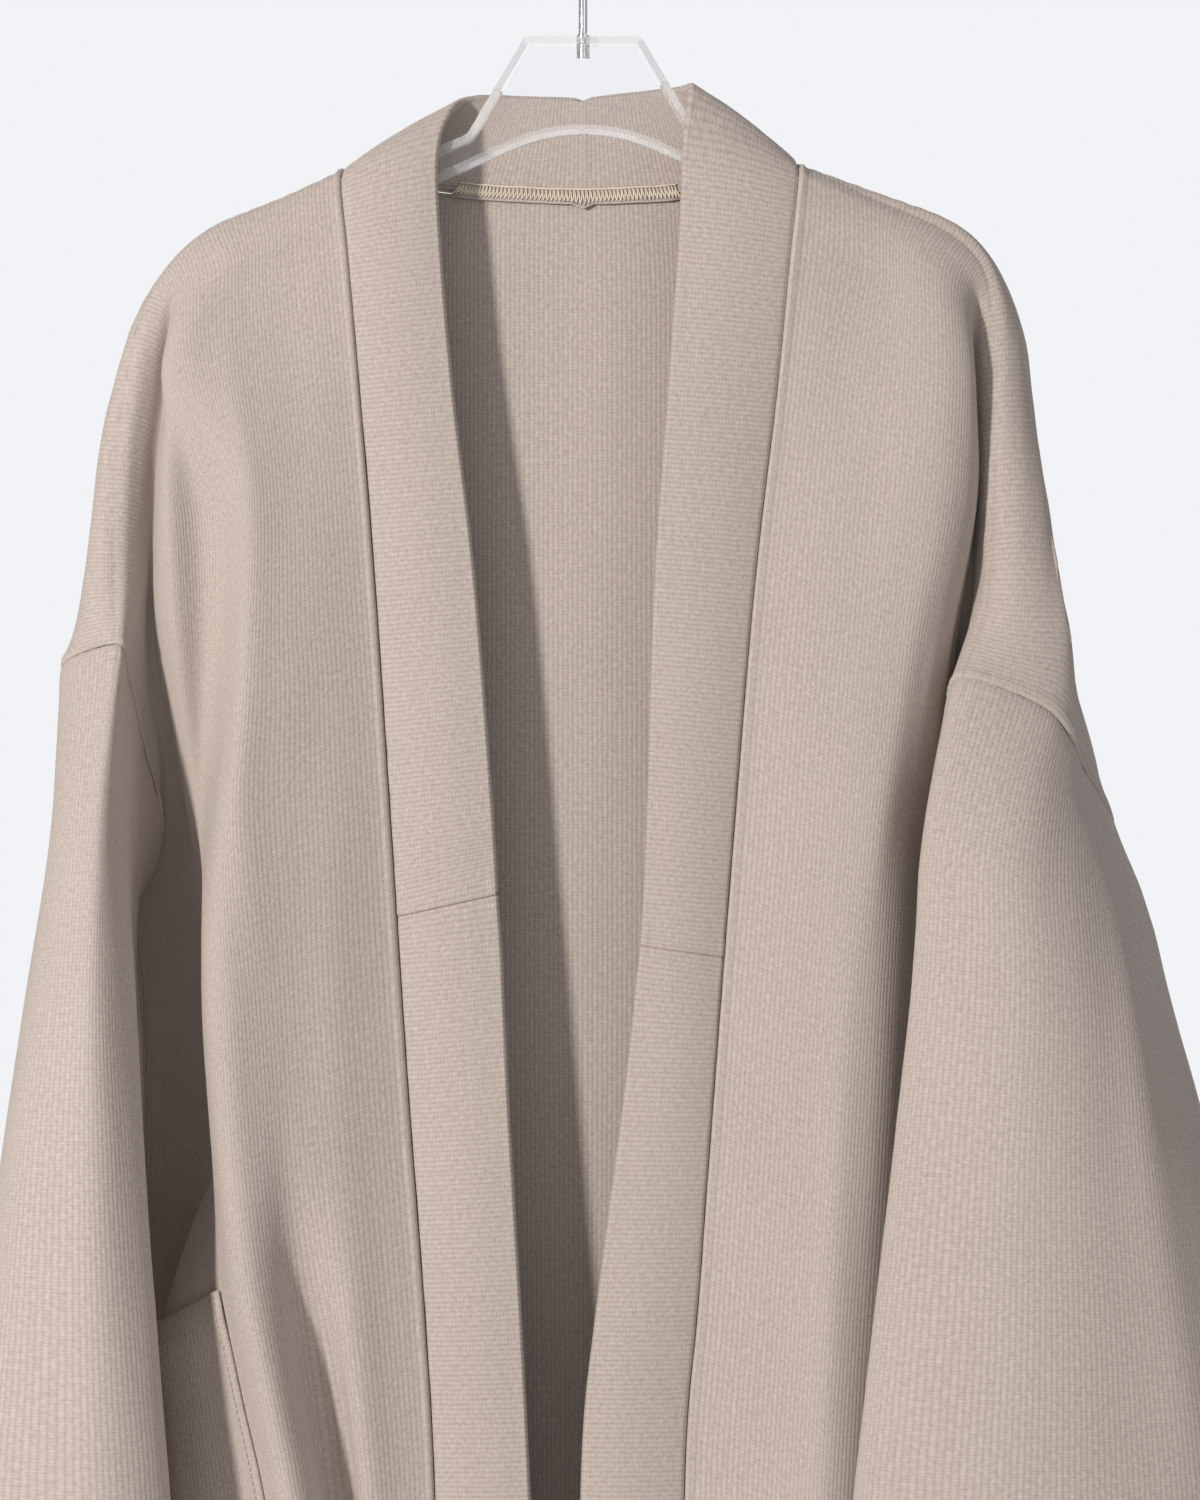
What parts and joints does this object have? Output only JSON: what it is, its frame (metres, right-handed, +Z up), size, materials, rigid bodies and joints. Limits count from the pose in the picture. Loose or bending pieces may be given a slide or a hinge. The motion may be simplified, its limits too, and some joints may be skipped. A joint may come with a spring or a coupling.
{
  "type": "kimono coat on a hanger",
  "caption": "Open kimono-style knit coat with wide sleeves, a long front band and patch pockets, hung on a clear hanger with a metal hook.",
  "frame": {"origin": "inside top of the hanger's hook, where it bears on a rail", "axes": "+Z up, -Y towards a viewer of the coat's open front, +X to that viewer's right"},
  "size_m": [0.6706, 0.1974, 1.1554],
  "materials": {
    "knit": "matte",
    "clear_acrylic": "polished",
    "chrome": "polished"
  },
  "bodies": {
    "root": {"back": "knit", "front_right": "knit", "front_left": "knit", "sleeve_right": "knit", "sleeve_left": "knit", "band_upper_right": "knit", "band_upper_left": "knit", "band_lower_right": "knit", "band_lower_left": "knit", "pocket_right": "knit", "pocket_left": "knit", "hanger": "clear_acrylic", "hook": "chrome"}
  },
  "joints": []
}
